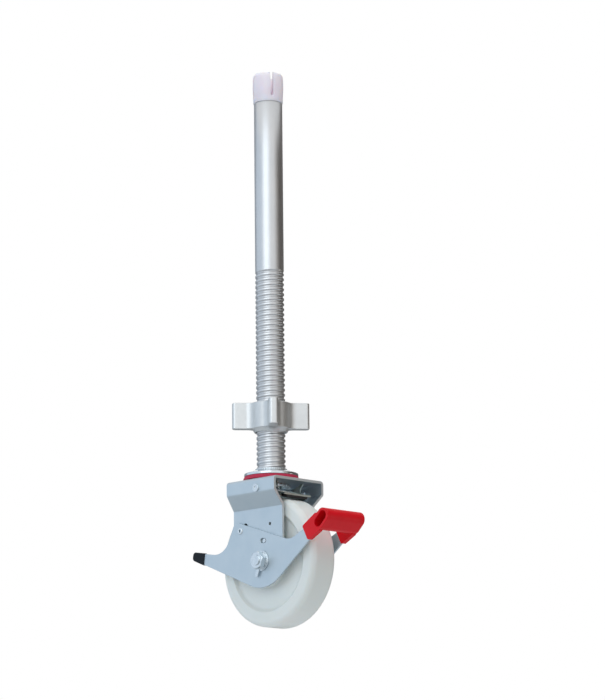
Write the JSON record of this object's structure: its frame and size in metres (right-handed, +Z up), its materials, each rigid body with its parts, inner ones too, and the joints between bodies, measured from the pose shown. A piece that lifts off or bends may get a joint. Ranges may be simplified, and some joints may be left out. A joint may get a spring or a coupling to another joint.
{
  "type": "scaffold castor",
  "caption": "Scaffold castor with a threaded leveling stem, a lobed collar nut, a pressed fork, a nylon wheel and a foot brake with a red pedal.",
  "frame": {"origin": "on the stem axis, where the thread ends and the plain shank begins", "axes": "+Z up along the stem, +X towards the brake pedal, +Y along the axle, away from the axle nut"},
  "size_m": [0.2986, 0.1118, 0.879],
  "materials": {
    "stem_steel": "satin zinc-plated steel tube",
    "plug_plastic": "milky moulded polyamide",
    "dark_steel": "turned bare steel",
    "bright_zinc": "bright zinc plate",
    "sheet_zinc": "pressed sheet steel, blue zinc plate",
    "nut_cast": "satin cast aluminium",
    "seal_red": "moulded seal ring",
    "bronze": "sintered bronze",
    "bearing_steel": "ground bearing steel",
    "spring_steel": "drawn spring wire",
    "nylon": "cast natural polyamide",
    "rubber": "moulded black rubber",
    "black_grip": "dipped soft black plastic",
    "pedal_red": "moulded red polyamide"
  },
  "bodies": {
    "stem": {"stem_tube": "stem_steel", "stem_plug": "plug_plastic", "stem_foot": "dark_steel", "kingpin": "dark_steel", "head_cup": "bright_zinc", "seal_ring": "seal_red", "thrust_washer": "bronze", "lock_ring": "bright_zinc", "kingpin_washer": "bright_zinc", "kingpin_nut": "bright_zinc"},
    "collar": {"collar_nut": "nut_cast"},
    "fork": {"fork": "sheet_zinc", "crown_race": "bright_zinc", "swivel_balls": "bearing_steel", "swivel_bush": "bronze", "stop_studs": "bright_zinc", "axle_bolt": "bright_zinc", "axle_nut": "bright_zinc", "axle_washers": "bright_zinc", "tab_washer": "bright_zinc", "axle_sleeve": "dark_steel", "pivot_bushes": "bronze", "bearing_inner": "bearing_steel", "lever_pin": "bright_zinc", "pin_collars": "bright_zinc", "return_spring": "spring_steel"},
    "wheel": {"wheel": "nylon", "bearing_outer": "bearing_steel", "bearing_balls": "bearing_steel", "bearing_seals": "rubber"},
    "rocker": {"brake_plate_near": "sheet_zinc", "brake_plate_far": "sheet_zinc", "drive_rivets": "bright_zinc", "tail_caps": "black_grip", "brake_pedal": "pedal_red"},
    "lever": {"brake_lever": "bright_zinc", "brake_shoe": "rubber"}
  },
  "joints": [
    {"name": "collar_travel", "type": "slide", "parent": "stem", "child": "collar", "axis": [0, 0, 1], "range_m": [-0.057, 0.21]},
    {"name": "fork_swivel", "type": "hinge", "parent": "stem", "child": "fork", "pos_m": [0, 0, -0.336], "axis": [0, 0, 1], "continuous": true},
    {"name": "wheel_spin", "type": "hinge", "parent": "fork", "child": "wheel", "pos_m": [0.015, 0, -0.462], "axis": [0, 1, 0], "continuous": true},
    {"name": "pedal_swing", "type": "hinge", "parent": "fork", "child": "rocker", "pos_m": [0.015, 0, -0.462], "axis": [0, 1, 0], "range_deg": [0, 9]},
    {"name": "lever_swing", "type": "hinge", "parent": "fork", "child": "lever", "pos_m": [0.021, 0, -0.352], "axis": [0, 1, 0], "range_deg": [0, 5]}
  ],
  "couplings": [
    {"joint": "lever_swing", "follows": "pedal_swing", "ratio": 0.55556}
  ]
}
